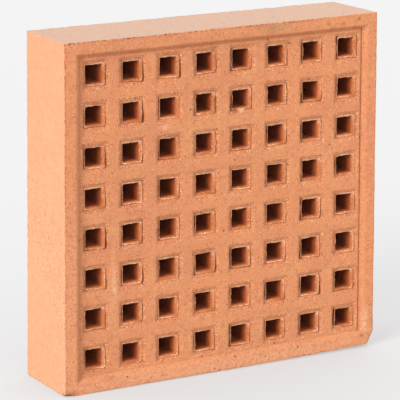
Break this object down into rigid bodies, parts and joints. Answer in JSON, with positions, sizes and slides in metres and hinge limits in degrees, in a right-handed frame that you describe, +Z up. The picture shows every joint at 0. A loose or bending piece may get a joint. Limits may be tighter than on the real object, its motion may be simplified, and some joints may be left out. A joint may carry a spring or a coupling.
{
  "type": "air brick",
  "caption": "Square terracotta air brick: a thick pressed clay block with a raised border round a sunk panel, pierced by a grid of square air ways with funnelled mouths.",
  "frame": {"origin": "middle of the lower face, on the ground the brick stands on", "axes": "+Z up, the pierced front with its border faces -Y, +X to the right as seen from the front"},
  "size_m": [0.215, 0.0516, 0.215],
  "materials": {
    "terracotta": "unglazed, matt, pressed and kiln-fired terracotta"
  },
  "bodies": {
    "root": {"air_brick": "terracotta"}
  },
  "joints": []
}
